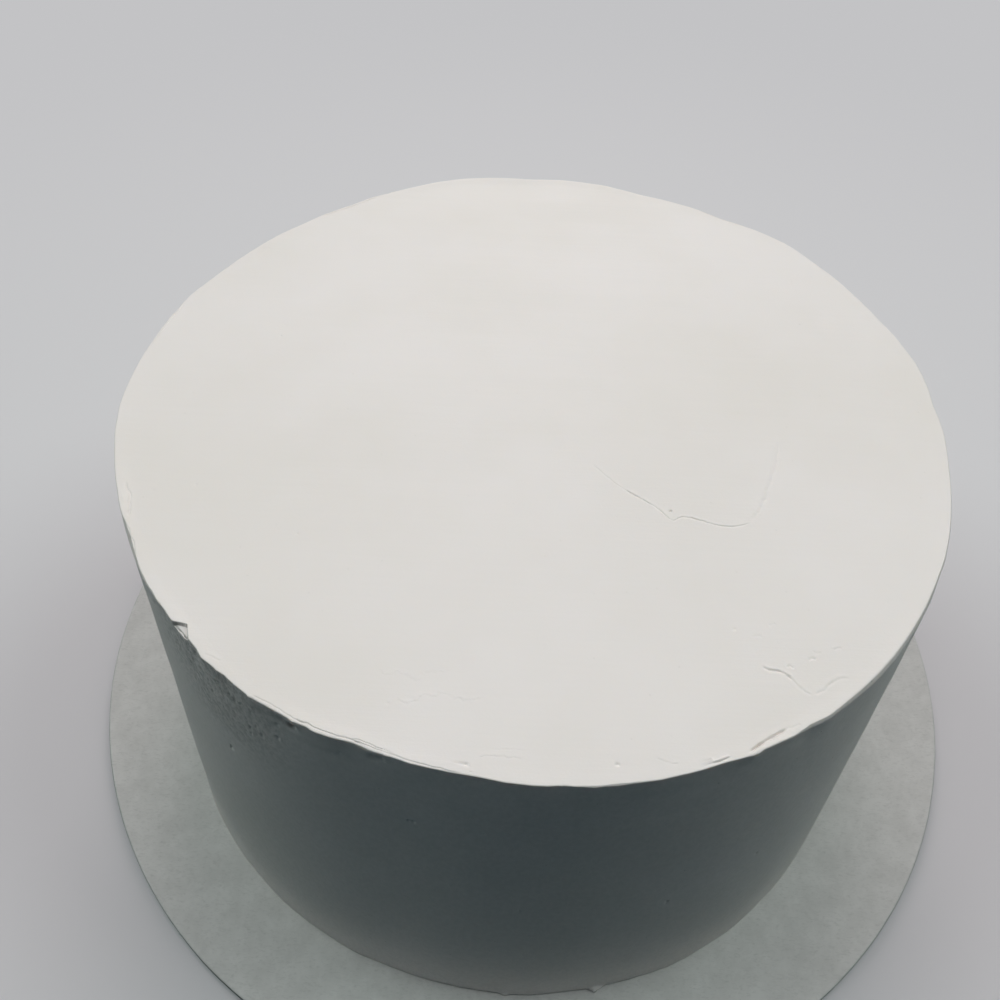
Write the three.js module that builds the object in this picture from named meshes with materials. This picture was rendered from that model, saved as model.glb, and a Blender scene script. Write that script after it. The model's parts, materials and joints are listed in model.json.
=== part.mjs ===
// A plain iced round cake standing on a round card cake board.
//
// Millimetres, +Z up. The origin is the middle of the board's underside, and -Y is the side
// that carries the rim's marks. The cake is one solid body of sponge under a thin coat of
// icing, scraped flat on top and down the sides by hand, so it is a lathed form whose rim and
// wall swell in and out a little as they go round. The card is a flat disc with a soft edge.

import * as THREE from 'three';
import { mergeVertices } from 'three/addons/utils/BufferGeometryUtils.js';

// ---- Driving dimensions ---------------------------------------------------------------

// Board: an 8 inch round of pressed card.
const BOARD_DIAMETER = 203;
const BOARD_THICKNESS = 2;
const BOARD_EDGE_ROUND = 0.4;

// Cake: a 6 inch sponge with its coat of icing, drawn in a little towards the top.
const CAKE_FOOT_RADIUS = 79.2;
const CAKE_TOP_RADIUS = 75.6;
const CAKE_HEIGHT = 88.3;

// The cake was set down by hand, so its axis stands a little off the board's middle.
const CAKE_OFFSET_X = -1.6;
const CAKE_OFFSET_Y = -3;

// Clearance between the cake's underside and the card it is stuck to.
const SEAT_GAP = 0.05;

// Top edge: the scraper leaves a low ridge of icing just inside a small rounded corner.
const RIM_ROUND = 0.7;
const RIM_LIP_WIDTH = 2.4;
const RIM_LIP_HEIGHT = 0.5;

// Foot: the icing turns under where it meets the card.
const FOOT_ROUND = 0.6;

// Where the hand-scraped wall stands out (+) or in (-) of a true circle at the rim:
// the middle of the swell in degrees from +X towards +Y, its half width, and its rise.
const RIM_SWELLS = [
  { at: 43, spread: 9, rise: 1.1 },
  { at: 67, spread: 9, rise: -0.6 },
  { at: 86, spread: 6, rise: 0.35 },
  { at: 105, spread: 8, rise: 0.9 },
  { at: 138, spread: 16, rise: -0.6 },
  { at: 165, spread: 7, rise: 0.55 },
  { at: 184, spread: 9, rise: 0.75 },
  { at: 205, spread: 7, rise: -0.2 },
  { at: 234, spread: 10, rise: 0.25 },
  { at: 255, spread: 9, rise: -0.85 },
  { at: 301, spread: 17, rise: 0.6 },
  { at: 350, spread: 13, rise: -1.1 },
];

// How much of each swell is left at the foot.
const SWELL_KEPT_AT_FOOT = 0.4;

// ---- Fineness of the curves -----------------------------------------------------------

const ROUND_SEGMENTS = 120;
const CORNER_STEPS = 4;
const LIP_STEPS = 4;
const WALL_STEPS = 6;

// ---- Colours and surfaces -------------------------------------------------------------

const ICING = new THREE.MeshStandardMaterial({
  name: 'icing', color: 0xeeeae2, roughness: 0.62, metalness: 0,
});
const CARD = new THREE.MeshStandardMaterial({
  name: 'card', color: 0xc9c8c4, roughness: 0.85, metalness: 0,
});

// ---- Helpers --------------------------------------------------------------------------

// Points on a quarter circle about (cx, cy), from one angle to another in degrees.
function arc(cx, cy, radius, from, to, steps) {
  const points = [];
  for (let i = 0; i <= steps; i += 1) {
    const angle = THREE.MathUtils.degToRad(from + ((to - from) * i) / steps);
    points.push(new THREE.Vector2(cx + radius * Math.cos(angle), cy + radius * Math.sin(angle)));
  }
  return points;
}

// A body of revolution about Z from a profile that runs bottom to top, axis to axis.
function revolve(profile) {
  const geometry = new THREE.LatheGeometry(profile, ROUND_SEGMENTS);
  geometry.rotateX(Math.PI / 2);
  geometry.deleteAttribute('normal');
  geometry.deleteAttribute('uv');
  return mergeVertices(geometry, 1e-4);
}

// The rim's departure from a true circle at an angle in degrees.
function rimSwell(degrees) {
  let rise = 0;
  for (const swell of RIM_SWELLS) {
    const away = THREE.MathUtils.euclideanModulo(degrees - swell.at + 180, 360) - 180;
    rise += swell.rise * Math.exp(-((away / swell.spread) ** 2));
  }
  return rise;
}

// ---- Board ----------------------------------------------------------------------------

function boardProfile() {
  const radius = BOARD_DIAMETER / 2;
  const corner = radius - BOARD_EDGE_ROUND;
  const upper = BOARD_THICKNESS - BOARD_EDGE_ROUND;
  return [
    new THREE.Vector2(0, 0),
    ...arc(corner, BOARD_EDGE_ROUND, BOARD_EDGE_ROUND, -90, 0, CORNER_STEPS),
    ...arc(corner, upper, BOARD_EDGE_ROUND, 0, 90, CORNER_STEPS),
    new THREE.Vector2(0, BOARD_THICKNESS),
  ];
}

function makeBoard() {
  const board = new THREE.Mesh(revolve(boardProfile()), CARD);
  board.name = 'cake_board';
  return board;
}

// ---- Cake -----------------------------------------------------------------------------

// The ridge inside the top edge, from the rim inwards: a half wave that dies into the flat top.
function lipProfile() {
  const crest = CAKE_TOP_RADIUS - RIM_ROUND;
  const points = [];
  for (let i = 1; i <= LIP_STEPS; i += 1) {
    const along = i / LIP_STEPS;
    const height = (RIM_LIP_HEIGHT * (1 + Math.cos(Math.PI * along))) / 2;
    points.push(new THREE.Vector2(crest - RIM_LIP_WIDTH * along, CAKE_HEIGHT + height));
  }
  return points;
}

function cakeProfile() {
  const corner = CAKE_HEIGHT + RIM_LIP_HEIGHT - RIM_ROUND;
  const wall = [];
  for (let i = 1; i < WALL_STEPS; i += 1) {
    const up = i / WALL_STEPS;
    wall.push(new THREE.Vector2(
      THREE.MathUtils.lerp(CAKE_FOOT_RADIUS, CAKE_TOP_RADIUS, up),
      THREE.MathUtils.lerp(FOOT_ROUND, corner, up),
    ));
  }
  return [
    new THREE.Vector2(0, 0),
    ...arc(CAKE_FOOT_RADIUS - FOOT_ROUND, FOOT_ROUND, FOOT_ROUND, -90, 0, CORNER_STEPS),
    ...wall,
    ...arc(CAKE_TOP_RADIUS - RIM_ROUND, corner, RIM_ROUND, 0, 90, CORNER_STEPS),
    ...lipProfile(),
    new THREE.Vector2(0, CAKE_HEIGHT),
  ];
}

// Moves each point out or in with the swells: fully at the rim, less at the foot, and not at
// all at the axis, so the top and the underside stay flat.
function scrapeByHand(geometry) {
  const position = geometry.getAttribute('position');
  for (let i = 0; i < position.count; i += 1) {
    const x = position.getX(i);
    const y = position.getY(i);
    const radius = Math.hypot(x, y);
    if (radius > 0) {
      const up = THREE.MathUtils.clamp(position.getZ(i) / CAKE_HEIGHT, 0, 1);
      const kept = THREE.MathUtils.lerp(SWELL_KEPT_AT_FOOT, 1, up);
      const swell = rimSwell(THREE.MathUtils.radToDeg(Math.atan2(y, x)));
      const stretch = 1 + (kept * swell) / CAKE_TOP_RADIUS;
      position.setXY(i, x * stretch, y * stretch);
    }
  }
  return geometry;
}

function makeCake() {
  const cake = new THREE.Mesh(scrapeByHand(revolve(cakeProfile())), ICING);
  cake.name = 'iced_cake';
  cake.position.set(CAKE_OFFSET_X, CAKE_OFFSET_Y, BOARD_THICKNESS + SEAT_GAP);
  return cake;
}

// ---- The whole thing ------------------------------------------------------------------

const cakeOnBoard = new THREE.Group();
cakeOnBoard.add(makeBoard(), makeCake());

export default cakeOnBoard;
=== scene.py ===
"""A plain iced round cake on its card board, and the pale studio table that it is shown on.

The cake is sponge under one coat of white buttercream, scraped flat on top and down the wall
with a hand-held scraper. What the scraper left is modelled: the wall swells in and out as it
goes round, the rim carries a low ridge with creased, folded and chipped stretches, and the
flat top has a few scratches, cracks and pin holes. The board is a disc of pressed card.
"""

import json
import logging
import math
import random
from collections.abc import Iterator, Sequence
from contextlib import contextmanager
from dataclasses import dataclass
from enum import Enum

import bpy
import numpy as np
from mathutils import Matrix, Vector, noise


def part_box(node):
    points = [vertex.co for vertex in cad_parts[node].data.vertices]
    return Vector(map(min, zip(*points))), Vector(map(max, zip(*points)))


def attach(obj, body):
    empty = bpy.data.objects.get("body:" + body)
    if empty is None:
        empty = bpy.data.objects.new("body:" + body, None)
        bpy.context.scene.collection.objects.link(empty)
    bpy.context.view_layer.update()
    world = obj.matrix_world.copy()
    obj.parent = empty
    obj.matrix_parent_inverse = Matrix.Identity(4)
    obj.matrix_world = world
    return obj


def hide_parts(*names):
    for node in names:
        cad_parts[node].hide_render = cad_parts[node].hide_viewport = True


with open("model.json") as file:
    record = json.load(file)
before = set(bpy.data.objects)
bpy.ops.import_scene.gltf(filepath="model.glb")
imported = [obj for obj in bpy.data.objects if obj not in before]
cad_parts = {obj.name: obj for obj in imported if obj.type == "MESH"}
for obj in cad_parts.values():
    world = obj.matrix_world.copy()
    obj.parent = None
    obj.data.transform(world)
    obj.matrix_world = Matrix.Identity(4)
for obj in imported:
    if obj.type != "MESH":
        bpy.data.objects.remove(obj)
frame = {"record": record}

LOG = logging.getLogger("iced_cake")
MM = 0.001
FULL_TURN = 360.0
# Millimetres within which two heights count as the same.
TOUCHING = 1e-3

# The cake's mean radius at its foot and at its rim, in millimetres.
FOOT_RADIUS = 79.2
TOP_RADIUS = 75.6

# What a shader node gives, and what an input takes.
Socket = bpy.types.NodeSocket
Feed = float | Socket


# ---- Small tools ------------------------------------------------------------------------


def linear(hex_colour: str) -> tuple[float, float, float, float]:
    """Turns an sRGB hex colour into the linear RGBA that a shader takes.

    Args:
        hex_colour: Six hex digits, such as "EFEBE3".

    Returns:
        Red, green, blue and an alpha of 1.
    """
    parts = [int(hex_colour[i:i + 2], 16) / 255 for i in (0, 2, 4)]
    line = [p / 12.92 if p <= 0.04045 else ((p + 0.055) / 1.055) ** 2.4 for p in parts]
    return line[0], line[1], line[2], 1.0


def add_node(
    tree: bpy.types.NodeTree,
    kind: str,
    feeds: dict[str | int, object] | None = None,
    **settings: object,
) -> bpy.types.Node:
    """Adds a shader node with its settings and what feeds its inputs.

    Args:
        tree: The node tree to add to.
        kind: The node's type name, without the ShaderNode prefix.
        feeds: Input name or number to a value, or to the output socket that drives it.
        **settings: Properties of the node itself.

    Returns:
        The new node.
    """
    made = tree.nodes.new("ShaderNode" + kind)
    for key, value in settings.items():
        setattr(made, key, value)
    for key, value in (feeds or {}).items():
        if isinstance(value, Socket):
            tree.links.new(value, made.inputs[key])
        else:
            made.inputs[key].default_value = value
    return made


def smooth(values: np.ndarray, low: float, high: float) -> np.ndarray:
    """Rises smoothly from 0 at low to 1 at high.

    Args:
        values: Where to read the curve.
        low: The value at which it leaves 0.
        high: The value at which it reaches 1; it may be below low.

    Returns:
        Shares from 0 to 1, one for each value.
    """
    share = np.clip((values - low) / (high - low), 0.0, 1.0)
    return share * share * (3 - 2 * share)


def bearing(points: np.ndarray) -> np.ndarray:
    """The angle of each point about the axis, in degrees from +X towards +Y."""
    return np.degrees(np.arctan2(points[:, 1], points[:, 0])) % FULL_TURN


def radius_of(points: np.ndarray) -> np.ndarray:
    """The distance of each point from the axis."""
    return np.hypot(points[:, 0], points[:, 1])


def grain(points: np.ndarray, pitch: float, seed: float) -> np.ndarray:
    """Reads soft noise at points.

    Args:
        points: Places in millimetres, three numbers each.
        pitch: The size of one swell of the noise, in millimetres.
        seed: Moves the noise, so that two readings differ.

    Returns:
        Values of about -1 to 1, one for each point.
    """
    shift = Vector((seed, 2.3 * seed, -1.7 * seed))
    return np.array([noise.noise(Vector(p) / pitch + shift) for p in points])


def clear_selection() -> None:
    """Deselects every object, so that the next operator acts only on what it is given."""
    bpy.ops.object.select_all(action="DESELECT")


# ---- Modelling in edit mode -------------------------------------------------------------


class Select(Enum):
    """The kind of mesh element that an edit works on, as Blender's select mode."""

    EDGES = (False, True, False)
    FACES = (False, False, True)


class Workpiece:
    """A mesh under the hand: it starts as a filled circle and is shaped in edit mode."""

    def __init__(self, name: str, sides: int, radius: float, centre: Vector) -> None:
        """Adds the starting circle.

        Args:
            name: The finished piece's name.
            sides: How many sides the circle has, a multiple of four.
            radius: In metres.
            centre: The circle's middle, in metres.
        """
        clear_selection()
        bpy.ops.mesh.primitive_circle_add(
            vertices=sides, radius=radius, fill_type="NGON", location=centre
        )
        self.body = bpy.context.object
        self.body.name = name
        self.body.data.name = name
        self.sides = sides
        self.centre = centre
        bpy.ops.object.transform_apply(location=True, rotation=True, scale=True)

    @property
    def mesh(self) -> bpy.types.Mesh:
        """The mesh as it stands."""
        return self.body.data

    @contextmanager
    def editing(self, kind: Select, chosen: np.ndarray | None = None) -> Iterator[None]:
        """Goes into edit mode with some elements selected, and out again at the end.

        Args:
            kind: Whether edges or faces are picked.
            chosen: True for each element to select; all are selected if it is left out.

        Yields:
            Nothing; operators run in between act on the selection.
        """
        bpy.context.tool_settings.mesh_select_mode = kind.value
        for layer in (self.mesh.vertices, self.mesh.edges, self.mesh.polygons):
            layer.foreach_set("select", np.zeros(len(layer), bool))
        layer = self.mesh.edges if kind is Select.EDGES else self.mesh.polygons
        layer.foreach_set("select", np.ones(len(layer), bool) if chosen is None else chosen)
        bpy.ops.object.mode_set(mode="EDIT")
        yield
        bpy.ops.object.mode_set(mode="OBJECT")

    def points(self) -> np.ndarray:
        """Reads where the vertices are.

        Returns:
            Their places, in millimetres from the piece's axis and its lowest plane.
        """
        flat = np.empty(len(self.mesh.vertices) * 3)
        self.mesh.vertices.foreach_get("co", flat)
        return (flat.reshape(-1, 3) - np.array(self.centre)) / MM

    def move_points(self, points: np.ndarray) -> None:
        """Puts the vertices at new places.

        Args:
            points: Their places, as points() gives them.
        """
        placed = points * MM + np.array(self.centre)
        self.mesh.vertices.foreach_set("co", placed.ravel())
        self.mesh.update()

    def upness(self) -> np.ndarray:
        """Reads how far each vertex's normal points up.

        Returns:
            1 for each vertex on a flat top, down to 0 on an upright wall.
        """
        flat = np.empty(len(self.mesh.vertices) * 3)
        self.mesh.vertices.foreach_get("normal", flat)
        return flat.reshape(-1, 3)[:, 2]

    def face_centres(self) -> np.ndarray:
        """Reads where the faces are.

        Returns:
            Their middles, in millimetres as points() gives them.
        """
        flat = np.empty(len(self.mesh.polygons) * 3)
        self.mesh.polygons.foreach_get("center", flat)
        return (flat.reshape(-1, 3) - np.array(self.centre)) / MM

    def edge_ends(self) -> tuple[np.ndarray, np.ndarray]:
        """Reads where the edges are.

        Returns:
            The first and the second end of each, in millimetres as points() gives them.
        """
        flat = np.empty(len(self.mesh.edges) * 2, int)
        self.mesh.edges.foreach_get("vertices", flat)
        places = self.points()[flat.reshape(-1, 2)]
        return places[:, 0], places[:, 1]

    def raise_wall(self, height: float, top_radius: float, foot_radius: float) -> None:
        """Extrudes the circle into an upright wall and draws its top in.

        Args:
            height: In millimetres.
            top_radius: In millimetres.
            foot_radius: In millimetres.
        """
        top = self.centre + Vector((0, 0, height * MM))
        draw = top_radius / foot_radius
        with self.editing(Select.FACES):
            bpy.ops.mesh.extrude_region_move(
                TRANSFORM_OT_translate={"value": (0, 0, height * MM)}
            )
            bpy.ops.transform.resize(value=(draw, draw, 1), center_override=top)

    def round_edge(self, height: float, reach: float, steps: int) -> None:
        """Bevels the ring of edges that lies at a height.

        Args:
            height: The ring's height in millimetres.
            reach: How far the rounding goes from the edge, in millimetres.
            steps: The number of facets in the rounding.
        """
        first, second = self.edge_ends()
        level = np.maximum(abs(first[:, 2] - height), abs(second[:, 2] - height)) < TOUCHING
        with self.editing(Select.EDGES, level):
            bpy.ops.mesh.bevel(
                offset=reach * MM, offset_type="OFFSET", segments=steps, affect="EDGES"
            )

    def ring_wall(self, low: float, high: float, cuts: int) -> None:
        """Cuts new rings between two heights of the wall.

        Args:
            low: Cut upright edges whose middle is above this height, in millimetres.
            high: And below this one.
            cuts: New rings in each row of edges.
        """
        first, second = self.edge_ends()
        middle = (first[:, 2] + second[:, 2]) / 2
        upright = abs(first[:, 2] - second[:, 2]) > np.hypot(*(first - second).T[:2])
        with self.editing(Select.EDGES, upright & (middle > low) & (middle < high)):
            bpy.ops.mesh.subdivide(number_cuts=cuts)

    def cap_with_grid(self, insets: Sequence[float]) -> None:
        """Rings the top face inwards, and fills what is left with an even grid of quads.

        Args:
            insets: The width of each ring from the edge inwards, in millimetres.
        """
        corners = np.empty(len(self.mesh.polygons), int)
        self.mesh.polygons.foreach_get("loop_total", corners)
        cap = (corners == self.sides) & (self.face_centres()[:, 2] > TOUCHING)
        with self.editing(Select.FACES, cap):
            for width in insets:
                bpy.ops.mesh.inset(thickness=width * MM, depth=0)
            bpy.ops.mesh.delete(type="ONLY_FACE")
            bpy.ops.mesh.select_mode(type="EDGE")
            bpy.ops.mesh.select_all(action="DESELECT")
            bpy.ops.mesh.select_non_manifold()
            bpy.ops.mesh.fill_grid(span=self.sides // 4, offset=0)

    def ring_underside(self, insets: Sequence[float]) -> None:
        """Rings the bottom face inwards, so that it can follow a curled edge.

        Args:
            insets: The width of each ring from the edge inwards, in millimetres.
        """
        corners = np.empty(len(self.mesh.polygons), int)
        self.mesh.polygons.foreach_get("loop_total", corners)
        base = (corners == self.sides) & (self.face_centres()[:, 2] < TOUCHING)
        with self.editing(Select.FACES, base):
            for width in insets:
                bpy.ops.mesh.inset(thickness=width * MM, depth=0)

    def face_sizes(self) -> np.ndarray:
        """Measures how large the faces are.

        Returns:
            The side in millimetres of a square as large as each face.
        """
        areas = np.empty(len(self.mesh.polygons))
        self.mesh.polygons.foreach_get("area", areas)
        return np.sqrt(areas) / MM

    def refine(self, chosen: np.ndarray) -> None:
        """Cuts each chosen face in four."""
        with self.editing(Select.FACES, chosen):
            bpy.ops.mesh.subdivide(number_cuts=1, ngon=False)

    def split_round(self, chosen: np.ndarray) -> None:
        """Cuts edges in half, where they run round the piece and not up or across.

        Args:
            chosen: True for each edge that may be cut.
        """
        first, second = self.edge_ends()
        turn = abs(np.hypot(*first.T[:2]) - np.hypot(*second.T[:2]))
        level = 0.03
        along = (turn < level) & (abs(first[:, 2] - second[:, 2]) < level)
        with self.editing(Select.EDGES, along & chosen):
            bpy.ops.mesh.subdivide(number_cuts=1, ngon=False)

    def drop_slivers(self) -> None:
        """Dissolves the faces without area that cutting leaves, which would spoil the shading."""
        with self.editing(Select.FACES):
            bpy.ops.mesh.dissolve_degenerate(threshold=TOUCHING * MM)

    def finish(self) -> bpy.types.Object:
        """Turns every face outwards and shades the piece smooth.

        Returns:
            The finished piece.
        """
        with self.editing(Select.FACES):
            bpy.ops.mesh.normals_make_consistent(inside=False)
        clear_selection()
        self.body.select_set(True)
        bpy.ops.object.shade_smooth()
        clear_selection()
        triangles = sum(len(p.vertices) - 2 for p in self.mesh.polygons)
        LOG.info("%s: %d triangles", self.body.name, triangles)
        return self.body


# ---- Marks in the icing -----------------------------------------------------------------


class Chart(Enum):
    """The surface that a mark lies on, and the two numbers that place it there.

    TOP is the flat top: X and Y in millimetres from the cake's axis.
    RIM is the flat top too: degrees round from +X, and millimetres in from the rim.
    WALL is the wall: degrees round from +X, and height in millimetres above the card.
    """

    TOP = "top"
    RIM = "rim"
    WALL = "wall"


@dataclass(frozen=True)
class Swell:
    """A stretch where the scraped wall stands out of a true circle, or in if rise is negative."""

    at: float
    spread: float
    rise: float

    def read(self, degrees: np.ndarray) -> np.ndarray:
        """The swell's height in millimetres at angles in degrees."""
        away = (degrees - self.at + FULL_TURN / 2) % FULL_TURN - FULL_TURN / 2
        return self.rise * np.exp(-((away / self.spread) ** 2))


@dataclass(frozen=True)
class Kink:
    """A bend in the rim's line, as a tent: it stands out, or in, most at one angle."""

    at: float
    spread: float
    rise: float

    def read(self, degrees: np.ndarray) -> np.ndarray:
        """The bend's height in millimetres at angles in degrees."""
        away = abs((degrees - self.at + FULL_TURN / 2) % FULL_TURN - FULL_TURN / 2)
        return self.rise * np.clip(1 - away / self.spread, 0, 1)


@dataclass(frozen=True)
class Stroke:
    """A scratch, crack or crease: a groove along a line, with a burr thrown up beside it.

    Width, depth, burr and waver, which is how far the line strays, are in millimetres. A
    positive burr lies to the left of the line as it runs, and a negative one to the right. A
    line whose depth is negative is a ridge.
    """

    chart: Chart
    line: tuple[tuple[float, float], ...]
    width: float
    depth: float
    burr: float = 0.0
    waver: float = 0.12


@dataclass(frozen=True)
class Fold:
    """A strip of rim that was pushed over the edge and laid down, parted off by a fine crease.

    Its line gives the crease: degrees round, and millimetres in from the rim. Outside the
    crease the strip drops, and slopes down towards the rim.
    """

    line: tuple[tuple[float, float], ...]
    drop: float
    slope: float
    crease: float
    crease_width: float = 0.1

    def read(self, degrees: np.ndarray, inset: np.ndarray) -> np.ndarray:
        """How far the fold lowers each point.

        Args:
            degrees: Angles round the cake.
            inset: Millimetres in from the rim.

        Returns:
            Millimetres down, one for each point.
        """
        turns, depths = np.array(self.line).T
        out = np.interp(degrees, turns, depths) - inset
        within = (degrees > turns[0]) & (degrees < turns[-1])
        ends = smooth(degrees, turns[0], turns[0] + 0.3)
        ends *= smooth(degrees, turns[-1], turns[-1] - 2)
        strip = smooth(out, -0.06, 0.12) * (self.drop + self.slope * np.maximum(out, 0))
        groove = self.crease * np.exp(-((out / self.crease_width) ** 2))
        return np.where(within, ends * (strip + groove), 0.0)


@dataclass(frozen=True)
class Shave:
    """A stretch of rim that the scraper's edge planed off at a slant.

    Its line gives the slant's inner edge: degrees round, and millimetres in from the rim. The
    slant falls by its steepness for each millimetre outwards.
    """

    line: tuple[tuple[float, float], ...]
    steepness: float

    def plane(self, degrees: np.ndarray, inset: np.ndarray, rise: np.ndarray) -> np.ndarray:
        """How far each point stands proud of the slant, square to it.

        Args:
            degrees: Angles round the cake.
            inset: Millimetres in from the rim.
            rise: Millimetres above the flat top.

        Returns:
            Millimetres, one for each point, and 0 where nothing is planed off.
        """
        turns, widths = np.array(self.line).T
        width = np.interp(degrees, turns, widths, left=0, right=0)
        proud = (rise + self.steepness * (width - inset)) / math.hypot(1, self.steepness)
        near = (width > 0) & (inset < width + 0.3) & (rise > -2)
        return np.where(near, np.maximum(proud, 0), 0.0)


@dataclass(frozen=True)
class Dimple:
    """A pin hole, pit or burst bubble, or a lump of icing if its depth is negative."""

    chart: Chart
    place: tuple[float, float]
    radius: float
    depth: float


@dataclass(frozen=True)
class Chip:
    """A three-cornered flake torn out of the rim.

    Its corners are in millimetres from the cake's axis: two on the rim, the inner one between.
    """

    left: tuple[float, float]
    inner: tuple[float, float]
    right: tuple[float, float]
    drop: float
    slope: float
    brink: float


RIM_SWELLS = (
    Swell(43, 9, 1.1), Swell(67, 9, -0.6), Swell(86, 6, 0.35), Swell(105, 8, 0.9),
    Swell(138, 16, -0.6), Swell(165, 7, 0.55), Swell(184, 9, 0.75), Swell(205, 7, -0.2),
    Swell(234, 10, 0.25), Swell(255, 9, -0.85), Swell(301, 17, 0.6), Swell(350, 13, -1.1),
)

RIM_KINKS = (
    Kink(3, 6, -0.5), Kink(12, 4, 0.25), Kink(22, 5, -0.25), Kink(39, 5, -0.25),
    Kink(57, 4, -0.45), Kink(72, 5, -0.38), Kink(79, 3, 0.2), Kink(91.5, 5, -0.38),
    Kink(120, 4, 0.45), Kink(133, 3.5, -0.3), Kink(159.5, 3, 0.22), Kink(174, 6, 0.25),
    Kink(215.5, 5, 0.18), Kink(222.4, 1.2, 0.1), Kink(227.4, 2.2, -0.25), Kink(229.3, 1.4, 0.22),
    Kink(233.2, 2.4, -0.2), Kink(237.0, 1.4, 0.1), Kink(240.8, 2.4, -0.2), Kink(245.6, 2.0, 0.14),
    Kink(237.2, 0.5, 0.16), Kink(242.9, 0.45, 0.14), Kink(244.6, 0.6, -0.1), Kink(232.0, 0.8, 0.1),
    Kink(226.1, 0.7, -0.12), Kink(219.0, 0.8, 0.1), Kink(250.2, 2.6, -0.3), Kink(256.8, 2.8, 0.18),
    Kink(264.8, 5.5, -0.32), Kink(272.8, 1.8, -0.12),
    Kink(276.8, 1.6, 0.12), Kink(283.6, 2.4, 0.18), Kink(288.5, 0.5, 0.3), Kink(290.6, 2.6, -0.22),
    Kink(294.4, 0.9, 0.22), Kink(301.6, 2.6, -0.22), Kink(305.0, 2.4, 0.14), Kink(330.0, 14, -0.38),
)

# Where the icing inside the rim stands a little high, pushed there by the scraper.
LIP_SWELLS = (
    Swell(247, 12, 0.12), Swell(297, 6, 0.1), Swell(312, 12, 0.08), Swell(203, 9, 0.14),
    Swell(222, 7, 0.12), Swell(20, 14, 0.08), Swell(96, 16, 0.12), Swell(150, 13, 0.14),
)

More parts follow.
